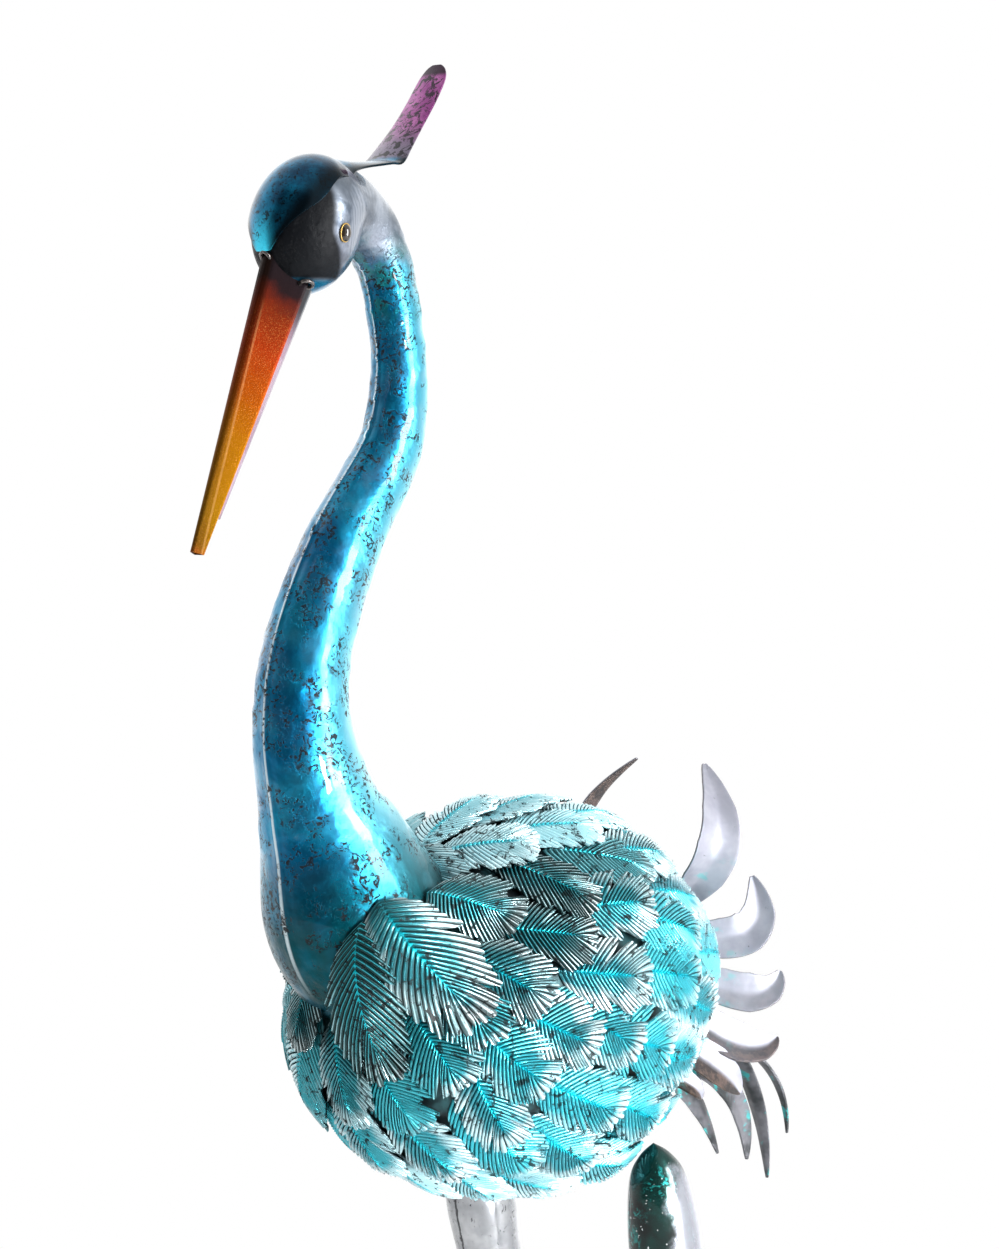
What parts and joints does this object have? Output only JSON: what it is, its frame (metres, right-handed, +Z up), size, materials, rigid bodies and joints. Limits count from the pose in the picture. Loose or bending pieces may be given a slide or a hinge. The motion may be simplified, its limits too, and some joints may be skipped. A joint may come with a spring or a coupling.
{
  "type": "crane garden statue",
  "caption": "Standing garden crane in painted sheet steel: S-curved neck, long beak, feather-covered egg body, curled tail blades, thin legs on a low oval base.",
  "frame": {"origin": "middle of the base plate's underside, on the floor", "axes": "+Z up, the bird faces -Y, its left side is +X"},
  "size_m": [0.24, 0.4591, 1.0541],
  "materials": {
    "neck_paint": "candy metallic blue under clear coat, black face, pale grey cheek, dark speckle",
    "crest_paint": "metallic blue crown, purple crest with black mottling, glossy",
    "beak_paint": "black at the root to glittering orange to gold at the tip, glossy",
    "beak_lower_paint": "pale pink metallic, glossy",
    "eye_gloss": "dark gloss dome with a gold ring and a pale rim",
    "feather_paint": "teal and cyan over silver, black in the grooves, glossy",
    "tail_paint": "silver grey with dark brown and teal undersides",
    "leg_paint": "dark green-black gloss with pale teal patches",
    "base_paint": "black, softly glossy"
  },
  "bodies": {
    "root": {"base_plate": "base_paint", "foot_left": "leg_paint", "foot_right": "leg_paint", "shank_left": "leg_paint", "shank_right": "leg_paint", "thigh_left": "leg_paint", "thigh_right": "leg_paint", "feathered_body": "feather_paint", "head_and_neck": "neck_paint", "eye_left": "eye_gloss", "eye_right": "eye_gloss", "crown_crest": "crest_paint", "beak_upper": "beak_paint", "beak_lower": "beak_lower_paint", "tail_plume_top_left": "tail_paint", "tail_plume_top_right": "tail_paint", "tail_plume_upper_left": "tail_paint", "tail_plume_upper_right": "tail_paint", "tail_plume_middle_left": "tail_paint", "tail_plume_middle_right": "tail_paint", "tail_plume_lower_left": "tail_paint", "tail_plume_lower_right": "tail_paint", "tail_plume_outer_left": "tail_paint", "tail_plume_outer_right": "tail_paint", "tail_plume_small_left": "tail_paint", "tail_plume_small_right": "tail_paint", "tail_hanger_middle": "tail_paint", "tail_hanger_inner_left": "tail_paint", "tail_hanger_inner_right": "tail_paint", "tail_hanger_outer_left": "tail_paint", "tail_hanger_outer_right": "tail_paint"}
  },
  "joints": []
}
